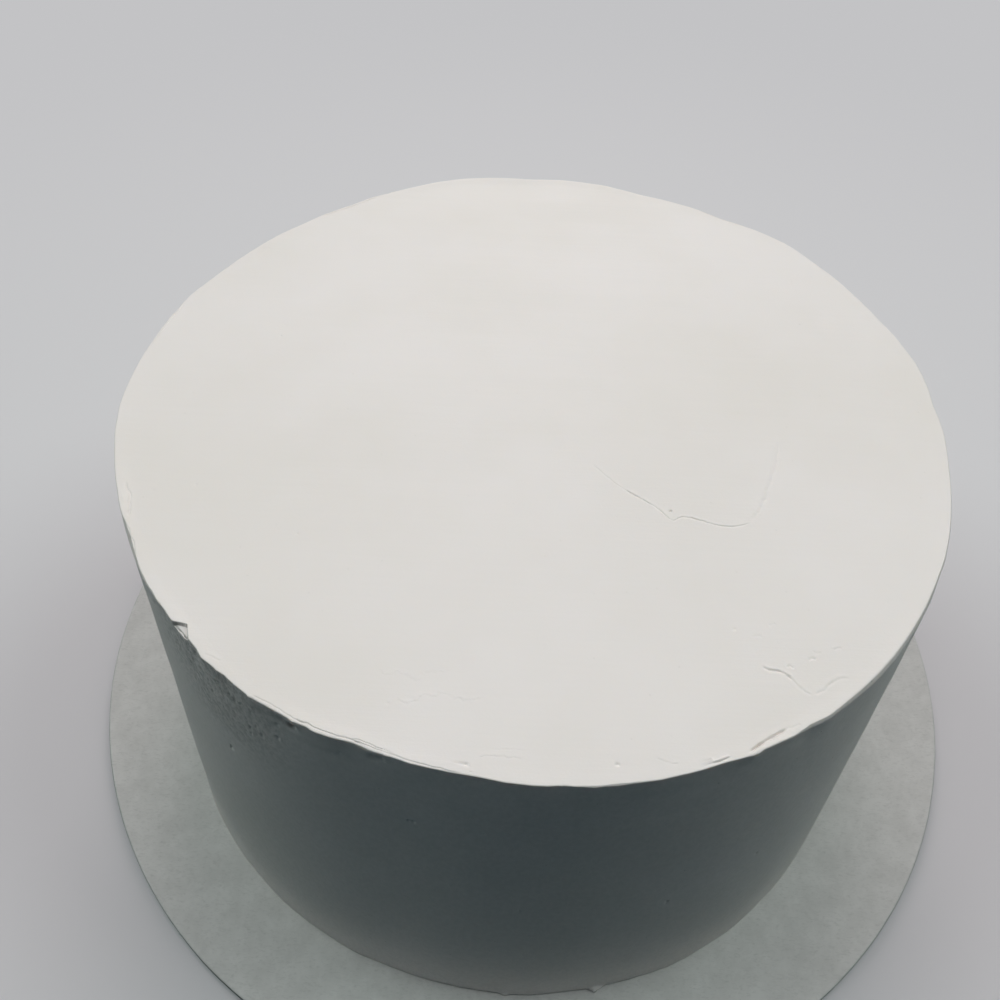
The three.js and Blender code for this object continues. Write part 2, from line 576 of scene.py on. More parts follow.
STROKES = (
    # A long thin scratch with a kink, as a tool's corner leaves when it is lifted and set down.
    Stroke(Chart.TOP, ((9.6, -14.8), (10.4, -15.8), (13.1, -18.7), (15.7, -21.1),
                       (17.7, -22.6)), 0.16, 0.05, 0.03, 0.1),
    Stroke(Chart.TOP, ((15.0, -20.5), (17.7, -22.4), (20.2, -24.2), (22.2, -26.5),
                       (23.0, -27.1)), 0.15, 0.16, 0.05, 0.08),
    Stroke(Chart.TOP, ((22.4, -26.7), (23.2, -27.1), (24.6, -26.2), (26.3, -26.4), (28.3, -27.0),
                       (30.5, -27.7), (33.4, -27.8), (36.4, -26.8)), 0.15, 0.17, 0.05, 0.08),
    Stroke(Chart.TOP, ((35.6, -27.1), (37.5, -24.8), (39.3, -21.6), (40.6, -18.0), (42.1, -13.9),
                       (44.0, -6.9)), 0.4, 0.08, 0.04, 0.3),
    # Two short cracks that run out towards the rim and meet in a shallow V.
    Stroke(Chart.TOP, ((34.2, -54.9), (35.2, -55.4), (36.6, -55.6), (37.7, -56.1),
                       (38.4, -57.0)), 0.2, 0.32, 0.06, 0.1),
    Stroke(Chart.TOP, ((37.4, -55.9), (38.4, -57.0), (39.2, -58.0), (40.0, -59.0),
                       (41.0, -59.5)), 0.2, 0.1, 0.05, 0.15),
    Stroke(Chart.TOP, ((41.4, -59.4), (43.1, -58.4), (44.2, -57.3), (45.3, -56.6),
                       (47.2, -56.2)), 0.24, 0.12, 0.05, 0.12),
    # Short nicks beside them.
    Stroke(Chart.TOP, ((38.0, -54.9), (38.5, -54.5), (39.0, -55.0)), 0.2, 0.14),
    Stroke(Chart.TOP, ((41.4, -53.4), (42.0, -53.1), (42.6, -53.3)), 0.24, 0.16),
    Stroke(Chart.TOP, ((42.3, -51.9), (43.0, -52.1), (43.6, -51.9)), 0.2, 0.08),
    Stroke(Chart.TOP, ((45.5, -51.3), (46.2, -51.1), (47.0, -51.1)), 0.2, 0.09, 0.04),
    Stroke(Chart.TOP, ((33.5, -49.8), (34.3, -49.5), (35.0, -49.5)), 0.2, 0.06),
    Stroke(Chart.TOP, ((36.3, -47.4), (37.4, -47.0)), 0.2, 0.06),
    # Wrinkles where the top was smoothed once more after it had begun to set.
    Stroke(Chart.TOP, ((-20.4, -63.0), (-18.8, -63.6), (-17.4, -63.4), (-16.4, -62.7),
                       (-15.6, -62.2), (-14.3, -62.4), (-12.8, -62.0), (-11.0, -62.7),
                       (-9.3, -62.7), (-6.8, -62.2)), 0.18, 0.035, 0.03, 0.45),
    Stroke(Chart.TOP, ((-23.8, -58.1), (-21.6, -59.3), (-19.9, -58.6), (-17.5, -59.8),
                       (-15.4, -58.3), (-13.2, -58.4), (-11.8, -57.6)), 0.2, 0.02, 0.02, 0.5),
    Stroke(Chart.TOP, ((-7.8, -71.5), (-4.6, -71.4), (-1.2, -71.7)), 0.17, 0.04, 0.025, 0.2),
    Stroke(Chart.TOP, ((-6.0, -70.4), (-3.4, -70.2), (-1.0, -70.3)), 0.17, 0.022, 0.012, 0.2),
    # A blister at the left rim whose skin has cracked round its inner side.
    Stroke(Chart.TOP, ((-70.0, -23.6), (-69.2, -25.6), (-68.4, -26.8), (-68.0, -28.6),
                       (-67.6, -30.4), (-67.4, -31.6)), 0.2, 0.2, 0.0, 0.15),
    # A crinkle of torn icing on the front of the rim.
    Stroke(Chart.TOP, ((24.8, -70.1), (25.0, -70.8), (25.3, -71.0), (25.8, -70.7), (26.6, -70.5),
                       (27.7, -69.9)), 0.15, 0.22, 0.14, 0.1),
    Stroke(Chart.TOP, ((17.2, -70.6), (18.9, -71.2), (20.4, -71.4)), 0.15, 0.05, 0.03, 0.2),
    # A scuff beside the chip.
    Stroke(Chart.RIM, ((229.2, 0.5), (229.9, 1.0), (230.7, 1.2), (231.4, 1.5)), 0.16, 0.035, 0.03),
    # A crease in the floor of the chip, where the torn icing folded over on itself.
    Stroke(Chart.TOP, ((-54.6, -52.2), (-53.7, -52.9), (-53.0, -53.8), (-52.5, -54.8)), 0.14, 0.22,
           -0.1, 0.05),
    # A flake on the rim that was folded flat: the gap under its inner edge, and its thick skin.
    Stroke(Chart.TOP, ((30.4, -69.2), (31.9, -68.0), (33.4, -67.0), (34.8, -66.1),
                       (36.4, -65.2)), 0.2, 0.65, 0.0, 0.08),
    Stroke(Chart.TOP, ((35.4, -65.7), (37.2, -64.8), (38.6, -64.3)), 0.2, 0.1, 0.0, 0.12),
    Stroke(Chart.TOP, ((29.8, -69.9), (31.6, -68.9), (33.6, -67.9), (35.6, -66.9),
                       (37.4, -66.2)), 0.45, -0.16, 0.0, 0.08),
)

FOLDS = (
    Fold(((237.4, 0.3), (238.0, 0.5), (239.0, 0.52), (240.5, 0.44), (242.5, 0.4), (244.0, 0.42),
          (246.0, 0.3)), 0.05, 0.06, 0.06),
    Fold(((243.2, 0.4), (244.5, 0.55), (246.5, 0.48), (249.0, 0.42), (250.6, 0.26), (252.0, 0.16)),
         0.07, 0.08, 0.1),
    Fold(((250.0, 0.2), (250.9, 0.42), (252.5, 0.4), (254.5, 0.34), (257.0, 0.32), (260.0, 0.28),
          (263.0, 0.12)), 0.07, 0.1, 0.08),
    Fold(((249.8, 0.25), (250.6, 0.72), (252.0, 0.68), (253.6, 0.58), (255.2, 0.45)),
         0.04, 0.06, 0.12, 0.08),
    Fold(((205.6, 0.15), (207.0, 0.6), (208.4, 0.5), (209.3, 0.65), (210.8, 0.45),
          (212.6, 0.1)), 0.06, 0.2, 0.07, 0.12),
    Fold(((52.0, 0.3), (55.0, 0.6), (58.0, 0.5), (62.0, 0.2)), 0.06, 0.3, 0.2),
    Fold(((117.0, 0.2), (121.0, 0.7), (126.0, 0.8), (131.0, 0.3)), 0.08, 0.2, 0.25),
    Fold(((160.0, 0.2), (163.0, 0.6), (168.0, 0.5), (172.0, 0.2)), 0.06, 0.2, 0.2),
)

SHAVES = (
    Shave(((204.5, 0.0), (206.5, 0.35), (208.5, 0.48), (210.5, 0.34), (213.0, 0.2), (218.0, 0.12),
           (222.0, 0.0)), 1.5),
    Shave(((297.0, 0.0), (302.0, 0.2), (308.0, 0.3), (314.0, 0.26), (320.0, 0.33), (327.0, 0.3),
           (334.0, 0.2), (342.0, 0.22), (350.0, 0.12), (359.0, 0.0)), 1.7),
    Shave(((20.0, 0.0), (26.0, 0.2), (33.0, 0.14), (41.0, 0.24), (47.0, 0.0)), 1.2),
    Shave(((64.0, 0.0), (70.0, 0.25), (80.0, 0.18), (88.0, 0.3), (97.0, 0.0)), 1.4),
    Shave(((140.0, 0.0), (146.0, 0.22), (153.0, 0.28), (158.0, 0.0)), 1.3),
    Shave(((266.0, 0.0), (270.0, 0.1), (277.0, 0.14), (282.0, 0.08), (287.0, 0.0)), 1.2),
)

DIMPLES = (
    Dimple(Chart.TOP, (22.8, -25.0), 0.26, 0.3),
    Dimple(Chart.TOP, (-9.3, -72.8), 0.34, 0.3),
    Dimple(Chart.TOP, (11.8, -71.8), 0.34, 0.24),
    Dimple(Chart.TOP, (30.8, -48.4), 0.3, 0.08),
    # The blister's swelling, outside its crack.
    Dimple(Chart.TOP, (-69.8, -27.6), 1.5, -0.2),
    Dimple(Chart.TOP, (-69.2, -30.0), 1.3, -0.16),
    # A furrow under the rim where the coat pulled away, deepest at its right end.
    Dimple(Chart.WALL, (242.9, 87.0), 0.5, 0.6),
    Dimple(Chart.WALL, (242.3, 87.0), 0.5, 0.25),
    Dimple(Chart.WALL, (241.5, 87.2), 0.5, 0.15),
    Dimple(Chart.WALL, (230.2, 63.0), 0.34, 0.5),
    Dimple(Chart.WALL, (229.9, 61.9), 0.24, 0.16),
    Dimple(Chart.WALL, (256.3, 70.0), 0.3, 0.3),
    Dimple(Chart.WALL, (256.8, 70.1), 0.3, 0.26),
    Dimple(Chart.WALL, (289.6, 39.9), 0.34, 0.4),
    Dimple(Chart.WALL, (265.2, 72.0), 0.3, 0.2),
    Dimple(Chart.WALL, (252.3, 86.6), 0.8, 0.22),
    Dimple(Chart.WALL, (253.4, 87.2), 0.5, 0.2),
    # Crumbs of icing pressed out at the foot.
    Dimple(Chart.WALL, (282.4, 0.5), 0.9, -1.0),
    Dimple(Chart.WALL, (283.3, 0.3), 0.6, -0.5),
    Dimple(Chart.WALL, (269.4, 0.4), 0.8, -0.45),
    Dimple(Chart.WALL, (38.0, 0.5), 1.1, -0.7),
    Dimple(Chart.WALL, (121.0, 0.4), 0.9, -0.8),
    Dimple(Chart.WALL, (190.0, 0.4), 0.8, -0.4),
)

CHIP = Chip((-55.8, -51.4), (-52.9, -51.9), (-51.9, -55.6), drop=0.85, slope=-0.12, brink=0.35)


# ---- Finishes ---------------------------------------------------------------------------


class Finish:
    """A material being made: its shader, and the nodes that lead up to it."""

    def __init__(self, name: str) -> None:
        """Adds the material with its plain shader.

        Args:
            name: The material's name.
        """
        self.material = bpy.data.materials.new(name)
        self.material.use_nodes = True
        self.tree = self.material.node_tree
        self.shader = self.tree.nodes["Principled BSDF"]
        self.place = add_node(self.tree, "TexCoord").outputs["Object"]

    def facing_up(self) -> Socket:
        """How far the surface faces up: 1 on a flat top, 0 on an upright wall."""
        normal = add_node(self.tree, "NewGeometry").outputs["Normal"]
        return add_node(self.tree, "SeparateXYZ", {"Vector": normal}).outputs["Z"]

    def combine(self, operation: str, first: Feed, second: Feed) -> Socket:
        """Works one value out of two.

        Args:
            operation: Blender's name for the sum.
            first: Its first value.
            second: Its second value.

        Returns:
            What the sum comes to.
        """
        return add_node(self.tree, "Math", {0: first, 1: second}, operation=operation).outputs[0]

    def remap(
        self, value: Socket, source: Sequence[Feed], target: Sequence[Feed] = (0.0, 1.0),
        curve: str = "LINEAR",
    ) -> Socket:
        """Maps one range onto another, and holds the ends.

        Args:
            value: What is mapped.
            source: Where the range it comes from starts and ends.
            target: What it is mapped to at those two ends.
            curve: Blender's name for how it runs between them.

        Returns:
            The mapped value.
        """
        return add_node(self.tree, "MapRange", {
            "Value": value, "From Min": source[0], "From Max": source[1],
            "To Min": target[0], "To Max": target[1],
        }, interpolation_type=curve).outputs[0]

    def distance(self, spot: Sequence[float]) -> Socket:
        """The distance in metres from a spot."""
        feeds = {0: self.place, 1: spot}
        return add_node(self.tree, "VectorMath", feeds, operation="DISTANCE").outputs["Value"]

    def drawn_out(self, scale: Sequence[float], turn: float = 0.0) -> Socket:
        """Draws the pattern that is read from it out along an axis.

        Args:
            scale: How the places are scaled; less than 1 draws the pattern out.
            turn: How far the pattern is turned about Z, in radians.

        Returns:
            The places to read the pattern at.
        """
        feeds = {"Vector": self.place, "Rotation": (0, 0, turn), "Scale": scale}
        return add_node(self.tree, "Mapping", feeds).outputs[0]

    def clouds(
        self, pitch: float, detail: float, roughness: float, place: Socket | None = None,
        distortion: float = 0.0,
    ) -> Socket:
        """Reads soft noise.

        Args:
            pitch: The size of one swell of it, in millimetres.
            detail: How many finer layers lie over it.
            roughness: How strong those are.
            place: Where it is read, or None for the piece's own places.
            distortion: How far it is pulled about.

        Returns:
            Shares of about 0.3 to 0.7.
        """
        return add_node(self.tree, "TexNoise", {
            "Vector": place or self.place, "Scale": 1 / (pitch * MM), "Detail": detail,
            "Roughness": roughness, "Distortion": distortion,
        }).outputs["Fac"]

    def blend(self, share: Socket, first: Socket | str, second: str) -> Socket:
        """Mixes two colours.

        Args:
            share: How much of the second there is.
            first: Six hex digits, or a colour made before.
            second: Six hex digits.

        Returns:
            The mixed colour.
        """
        under = linear(first) if isinstance(first, str) else first
        feeds = {0: share, 6: under, 7: linear(second)}
        return add_node(self.tree, "Mix", feeds, data_type="RGBA").outputs[2]

    def emboss(
        self, height: Socket, strength: float, relief: float, under: Socket | None = None,
        sunk: bool = False,
    ) -> Socket:
        """Raises or sinks the surface by a pattern.

        Args:
            height: The pattern.
            strength: The share of the relief that shows.
            relief: The relief in millimetres.
            under: The relief made before, which this one is laid over.
            sunk: Whether the pattern sinks the surface.

        Returns:
            The normal.
        """
        feeds = {"Strength": strength, "Distance": relief * MM, "Height": height}
        if under:
            feeds["Normal"] = under
        return add_node(self.tree, "Bump", feeds, invert=sunk).outputs[0]

    def done(self, feeds: dict[str, object]) -> bpy.types.Material:
        """Sets the shader.

        Args:
            feeds: Input name to a value, or to the output that drives it.

        Returns:
            The finished material.
        """
        for key, value in feeds.items():
            if isinstance(value, Socket):
                self.tree.links.new(value, self.shader.inputs[key])
            else:
                self.shader.inputs[key].default_value = value
        return self.material


@dataclass(frozen=True)
class Buttercream:
    """White buttercream icing, spread and scraped: a soft satin with drag lines and pores, with
    painted shade in its pores, tiny bubbles and furrow.
    """

    colour: str = "EDE3E1"
    shade: str = "E9DFDB"
    # Painted shade inside the open pores.
    pore_shade: str = "8F8A7F"
    # Painted shade of the tiny bubbles on the wall.
    cloud_shade: str = "8F8C86"
    # Painted shade in the furrow under the rim.
    furrow_shade_colour: str = "5F5B54"
    # Where the painted shade clouds on the wall are darkest, in metres.
    cloud_shade_centre: tuple[float, float, float] = (-0.0515, -0.0625, 0.0845)
    # Painted shade in the furrow under the rim: where each spot lies in metres, its reach in
    # millimetres, and how dark it is.
    furrow_shade_spots: tuple[tuple[tuple[float, float, float], float, float], ...] = (
        ((-0.0366, -0.0700, 0.0883), 0.8, 0.85), ((-0.0373, -0.0696, 0.0885), 1.0, 0.4),
        ((-0.0382, -0.0691, 0.0888), 1.0, 0.35), ((-0.0390, -0.0686, 0.0889), 0.9, 0.3),
        ((-0.0243, -0.0743, 0.0884), 1.1, 0.3),
    )
    drag_pitch: float = 1.3
    pore_pitch: float = 2.6

    def pores(self, finish: Finish, flat: Socket) -> Socket:
        """Lays out the air bubbles that the scraper cut open, a third of a millimetre wide.

        Args:
            finish: The material being made.
            flat: 1 on the top and 0 on the wall.

        Returns:
            1 in a pore and 0 between them.
        """
        cells = add_node(finish.tree, "TexVoronoi", {
            "Vector": finish.place, "Scale": 1 / (self.pore_pitch * MM), "Randomness": 1.0,
        })
        hole = finish.remap(cells.outputs["Distance"], (0.035, 0.085), (1.0, 0.0), "SMOOTHSTEP")
        split = add_node(finish.tree, "SeparateColor", {"Color": cells.outputs["Color"]})
        few = finish.remap(split.outputs[0], (0.66, 0.74))
        # The top was smoothed once more than the wall, which closed nearly all of them.
        shut = finish.remap(flat, (0.0, 1.0), (0.4, 0.08))
        return finish.combine("MULTIPLY", finish.combine("MULTIPLY", hole, few), shut)

    def cloud_shading(self, finish: Finish) -> Socket:
        """Lays out painted shade: darker clouds that stand in for the shade in bubbles too small to
        see one by one.

        Args:
            finish: The material being made.

        Returns:
            How strong the painted shade is, which is most around one spot under the rim.
        """
        cloud_shade = finish.clouds(0.85, 3.0, 0.7, finish.drawn_out((1.0, 1.0, 0.7)))
        from_centre = finish.distance(self.cloud_shade_centre)
        most = finish.remap(from_centre, (5 * MM, 21 * MM), (0.68, 0.1), "SMOOTHSTEP")
        return finish.remap(cloud_shade, (0.38, 0.62), (0.0, most))

    def furrow_shade(self, finish: Finish) -> Socket:
        """Lays out the painted shade in the furrow under the rim, spot by spot.

        Args:
            finish: The material being made.

        Returns:
            How strong the painted shade is.
        """
        shade_share = 0.0
        for spot, reach, most in self.furrow_shade_spots:
            edges = (0.2 * reach * MM, 1.3 * reach * MM)
            near = finish.remap(finish.distance(spot), edges, (most, 0.0), "SMOOTHSTEP")
            shade_share = finish.combine("MAXIMUM", shade_share, near)
        return shade_share

    def make(self) -> bpy.types.Material:
        """Builds the material.

        Returns:
            The icing's material, on Object coordinates.
        """
        finish = Finish("scraped_buttercream")
        flat = finish.remap(finish.facing_up(), (0.6, 0.9))
        upright = finish.combine("SUBTRACT", 1.0, flat)
        # Butter and sugar are never mixed quite evenly: patches as wide as a thumb are warmer.
        patches = finish.clouds(34, 3.0, 0.55)
        tint = finish.blend(finish.remap(patches, (0.35, 0.68)), self.colour, self.shade)
        pores = self.pores(finish, flat)
        # The pores get a darker colour: painted shade inside the open bubbles.
        tint = finish.blend(pores, tint, self.pore_shade)
        # Darker clouds on the wall only: painted shade of tiny bubbles.
        shade_clouds = finish.combine("MULTIPLY", self.cloud_shading(finish), upright)
        tint = finish.blend(shade_clouds, tint, self.cloud_shade)
        # Painted shade in the furrow under the rim, on the wall only.
        furrow_shaded = finish.combine("MULTIPLY", self.furrow_shade(finish), upright)
        tint = finish.blend(furrow_shaded, tint, self.furrow_shade_colour)
        # Drag lines: level ones round the wall, and long straight ones across the top.
        around = finish.drawn_out((0.05, 0.05, 1.0))
        across = finish.drawn_out((0.045, 1.0, 1.0), math.radians(24))
        drag = add_node(finish.tree, "Mix", {
            0: flat,
            2: finish.clouds(self.drag_pitch, 4.0, 0.6, around),
            3: finish.clouds(self.drag_pitch, 4.0, 0.6, across),
        }).outputs[0]
        bump = finish.emboss(drag, 0.35, 0.09)
        bump = finish.emboss(finish.clouds(0.45, 3.0, 0.6), 0.3, 0.05, bump)
        bump = finish.emboss(pores, 0.8, 0.15, bump, sunk=True)
        return finish.done({
            "Base Color": tint,
            # Fat on the surface gives a satin, a little glossier where the scraper pressed.
            "Roughness": finish.remap(drag, (0.3, 0.7), (0.46, 0.62)),
            "Normal": bump,
            "IOR": 1.45,
            "Specular IOR Level": 0.35,
            "Subsurface Weight": 0.12,
            "Subsurface Radius": (1.0, 0.8, 0.55),
            "Subsurface Scale": 1.2 * MM,
        })


@dataclass(frozen=True)
class PressedCard:
    """Pale pressed card: dull, mottled by its pulp, with short fibres lying every way."""

    colour: str = "D1CDCB"
    pulp: str = "C7C3C1"
    fibre: str = "AFABA9"
    # The cut edge's colour: the pulp's own darker tone, and painted shade of the gap under the
    # curled edge.
    cut_pulp_and_shade: str = "8F8E8A"

    def make(self) -> bpy.types.Material:
        """Builds the material.

        Returns:
            The board's material, on Object coordinates.
        """
        finish = Finish("pressed_card")
        # Pulp settles in soft clouds a few millimetres across.
        pulp = finish.remap(finish.clouds(4.5, 5.0, 0.65), (0.36, 0.66))
        tint = finish.blend(pulp, self.colour, self.pulp)
        # Fibres about 2 mm long in two directions, drawn wider than life so that they show.
        threads = [
            finish.clouds(0.5, 2.0, 0.6, finish.drawn_out((0.4, 1.0, 1.0), turn), distortion=0.4)
            for turn in (0.35, 1.9)
        ]
        pile = finish.combine("MAXIMUM", *threads)
        tint = finish.blend(finish.remap(pile, (0.55, 0.8), (0.0, 0.5)), tint, self.fibre)
        # The cut edge and the underside are darker: partly the recycled pulp that shows at the cut,
        # partly painted shade under the curled edge.
        cut = finish.remap(finish.facing_up(), (0.35, 0.8), (1.0, 0.0))
        return finish.done({
            "Base Color": finish.blend(cut, tint, self.cut_pulp_and_shade),
            "Normal": finish.emboss(pile, 0.4, 0.05),
            "Roughness": 0.86,
            "Specular IOR Level": 0.3,
        })


@dataclass(frozen=True)
class PaintedTable:
    """A matt painted table top: a plain pale cool grey, lost in the pale room further off."""

    colour: str = "D8D2D5"
    room: str = "C3C3C5"
    near_mm: float = 110.0
    far_mm: float = 420.0

    def make(self) -> bpy.types.Material:
        """Builds the material.

        Returns:
            The table's material.
        """
        finish = Finish("matt_painted_table")
        tree = finish.tree
        # The lamps stand close, so beyond their pool the floor takes on the room's own light.
        reach = add_node(tree, "VectorMath", {0: finish.place}, operation="LENGTH")
        pool = (self.near_mm * MM, self.far_mm * MM)
        far = finish.remap(reach.outputs["Value"], pool, curve="SMOOTHERSTEP")
        haze = add_node(tree, "Emission", {"Color": linear(self.room), "Strength": 1.0})
        both = add_node(tree, "MixShader", {
            0: far, 1: finish.shader.outputs[0], 2: haze.outputs[0],
        })
        tree.links.new(both.outputs[0], tree.nodes["Material Output"].inputs["Surface"])
        return finish.done({
            "Base Color": linear(self.colour), "Roughness": 0.8, "Specular IOR Level": 0.2,
        })


# ---- The cake ---------------------------------------------------------------------------


@dataclass
class IcedCake:
    """The cake with its coat of icing. Sizes are in millimetres."""

    axis: Vector
    height: float
    tallest: float
    foot_radius: float
    top_radius: float
    rim_round: float = 0.16
    foot_round: float = 0.5
    ridge_width: float = 2.6
    ridge_low: float = 0.03
    swell_kept_at_foot: float = 0.4
    sides: int = 240
    seed: int = 7

    def rim_radius(self, degrees: np.ndarray) -> np.ndarray:
        """The rim's radius at angles in degrees, with the swells but not the fine raggedness."""
        return self.top_radius + sum(s.read(degrees) for s in RIM_SWELLS)

    def kinked_radius(self, degrees: np.ndarray) -> np.ndarray:
        """The rim's radius at angles in degrees, with the swells and the narrow bends."""
        return self.rim_radius(degrees) + sum(k.read(degrees) for k in RIM_KINKS)

    def ridge_height(self, degrees: np.ndarray) -> np.ndarray:
        """How high the ridge inside the rim stands at angles in degrees."""
        return self.ridge_low + sum(s.read(degrees) for s in LIP_SWELLS)

    def blank(self) -> Workpiece:
        """Makes the plain form.

        Returns:
            A drawn-in cylinder with rings round its wall and a gridded top.
        """
        work = Workpiece("iced_cake_body", self.sides, self.foot_radius * MM, self.axis)
        work.raise_wall(self.height, self.top_radius, self.foot_radius)
        work.round_edge(self.height, self.rim_round, 3)
        work.round_edge(0.0, self.foot_round, 3)
        below_rim = self.height - self.rim_round
        work.ring_wall(self.foot_round, below_rim, 32)
        for depth, cuts in ((4.5, 2), (1.3, 3), (0.35, 2)):
            work.ring_wall(self.height - depth, below_rim, cuts)
        work.ring_wall(self.foot_round, 3.5, 2)
        work.cap_with_grid([0.07, 0.16, 0.27, 0.4, 0.4, 0.5, 0.6])
        return work

    def swell(self, work: Workpiece) -> None:
        """Moves the whole cake in and out with the swells, less towards the foot.

        Args:
            work: The cake as it stands.
        """
        points = work.points()
        degrees = bearing(points)
        up = np.clip(points[:, 2] / self.height, 0, 1)
        kept = self.swell_kept_at_foot + (1 - self.swell_kept_at_foot) * up
        stretch = 1 + kept * (self.rim_radius(degrees) - self.top_radius) / self.top_radius
        points[:, :2] *= stretch[:, None]
        work.move_points(points)

    def torn_line(self, degrees: np.ndarray, pitch: float, seed: int) -> np.ndarray:
        """A crooked line of straight runs, as torn icing has.

        Args:
            degrees: Where to read it.
            pitch: The usual length of a run, in millimetres.
            seed: Gives each line its own runs.

        Returns:
            Offsets of about -1 to 1.
        """
        draw = np.random.default_rng(seed)
        count = int(2 * np.pi * self.top_radius / pitch)
        knots = np.sort(draw.uniform(0, FULL_TURN, count))
        return np.interp(degrees, knots, draw.uniform(-1, 1, count), period=FULL_TURN)

    def scrape(self, work: Workpiece) -> None:
        """Roughens the wall, the rim and the foot as the scraper left them.

        Args:
            work: The cake as it stands.
        """
        points = work.points()
        degrees = bearing(points)
        radius = radius_of(points)
        # The same for every point of the rim on one line to the axis, so read on a circle.
        turn = np.radians(degrees)
        ring = np.column_stack([np.cos(turn), np.sin(turn)]) * self.top_radius
        ring = np.column_stack([ring, points[:, 2]])
        level = ring * (1, 1, 0)
        body = 0.14 * grain(ring, 26, 1.0) + 0.05 * grain(ring, 7, 2.0)
        # A narrow bend dies out a few millimetres down the wall, and a broad one lower.
        kinks = sum(
            k.read(degrees) * smooth(points[:, 2], self.height - 3 - 2.4 * k.spread, self.height)
            for k in RIM_KINKS
        )
        ragged = 0.07 * self.torn_line(degrees, 3.0, 3) + 0.04 * self.torn_line(degrees, 1.1, 4)
        near_rim = smooth(points[:, 2], self.height - 3.5, self.height - 0.2)
        near_foot = smooth(points[:, 2], 2.5, 0)
        foot = 0.25 * grain(level, 9, 5.0) + 0.12 * grain(level, 2.2, 6.0)
        shift = body + kinks + near_rim * ragged + near_foot * foot
        outer = smooth(radius, self.top_radius - 5, self.top_radius - 1)
        points[:, :2] *= (1 + outer * shift / np.maximum(radius, 1))[:, None]
        work.move_points(points)

    def raise_ridge(self, work: Workpiece) -> None:
        """Lifts the low ridge just inside the rim, and gives the flat top its faint waves.

        Args:
            work: The cake as it stands.
        """
        points = work.points()
        degrees = bearing(points)
        inset = self.rim_radius(degrees) - radius_of(points)
        height = self.ridge_height(degrees) + 0.03 * grain(points * (1, 1, 0), 3, 8.0)
        on_top = points[:, 2] > self.height - TOUCHING
        inwards = smooth(inset, self.rim_round + self.ridge_width, self.rim_round)
        below = smooth(points[:, 2], self.height - 4, self.height - 0.1)
        waves = -0.09 * np.abs(grain(points * (1, 1, 0), 30, 9.0))
        waves -= 0.02 * np.abs(grain(points * (1, 1, 0), 8, 10.0))
        lift = np.where(on_top, inwards * height + (1 - inwards) * waves, below * height)
        points[:, 2] += lift
        work.move_points(points)

    def scattered_pits(self) -> list[Dimple]:
        """Scatters burst bubbles: many just under the rim where the coat is thin, few elsewhere.

        Returns:
            The bubbles, in the same order each time.
        """
        draw = random.Random(self.seed)
        pits = []
        for _ in range(44):
            place = (draw.gauss(229, 8), self.height - 1.5 - abs(draw.gauss(0, 6)))
            radius, depth = draw.uniform(0.24, 0.42), draw.uniform(0.1, 0.24)
            pits.append(Dimple(Chart.WALL, place, radius, depth))
        for _ in range(24):
            place = (draw.uniform(0, FULL_TURN), draw.uniform(6, self.height - 3))
            radius, depth = draw.uniform(0.2, 0.34), draw.uniform(0.08, 0.26)
            pits.append(Dimple(Chart.WALL, place, radius, depth))
        for _ in range(8):
            angle = draw.uniform(0, FULL_TURN)
            reach = self.top_radius * math.sqrt(draw.uniform(0.02, 0.9))
            place = (reach * math.cos(math.radians(angle)), reach * math.sin(math.radians(angle)))
            radius, depth = draw.uniform(0.22, 0.3), draw.uniform(0.03, 0.08)
            pits.append(Dimple(Chart.TOP, place, radius, depth))
        return pits

    def flatten(self, chart: Chart, points: np.ndarray) -> np.ndarray:
        """Lays points out flat on a chart.

        Args:
            chart: The surface that the marks are drawn on.
            points: Places in millimetres from the cake's axis.

        Returns:
            Two numbers for each point, in millimetres: X and Y on the top, or the distance
            round the wall and the height.
        """
        if chart is Chart.WALL:
            degrees = bearing(points)
            return np.column_stack([np.radians(degrees) * self.foot_radius, points[:, 2]])
        return points[:, :2]

    def draw_line(self, chart: Chart, line: Sequence[tuple[float, float]]) -> np.ndarray:
        """Turns a mark's chart numbers into the millimetres that flatten() gives.

        Args:
            chart: The surface that the mark is drawn on.
            line: The mark's points, or its one place.

        Returns:
            Two numbers for each point.
        """
        spots = np.array(line, float)
        if chart is Chart.WALL:
            return np.column_stack([np.radians(spots[:, 0]) * self.foot_radius, spots[:, 1]])
        if chart is Chart.RIM:
            radius = self.rim_radius(spots[:, 0]) - spots[:, 1]
            turn = np.radians(spots[:, 0])
            return np.column_stack([radius * np.cos(turn), radius * np.sin(turn)])
        return spots

    @staticmethod
    def rounded(line: np.ndarray, steps: int = 4) -> np.ndarray:
        """Runs a smooth curve through a line's points, as a hand-drawn mark does.

        Args:
            line: The points to run through.
            steps: How many points the curve has for each of theirs.

        Returns:
            The curve's points.
        """
        if len(line) < 3:
            return line
        ends = np.vstack([2 * line[0] - line[1], line, 2 * line[-1] - line[-2]])
        curve = []
        for a, b, c, d in zip(ends, ends[1:], ends[2:], ends[3:]):
            for i in range(steps):
                t = i / steps
                curve.append(0.5 * (2 * b + (c - a) * t + (2 * a - 5 * b + 4 * c - d) * t ** 2
                                    + (3 * b - a - 3 * c + d) * t ** 3))
        return np.vstack([curve, line[-1]])

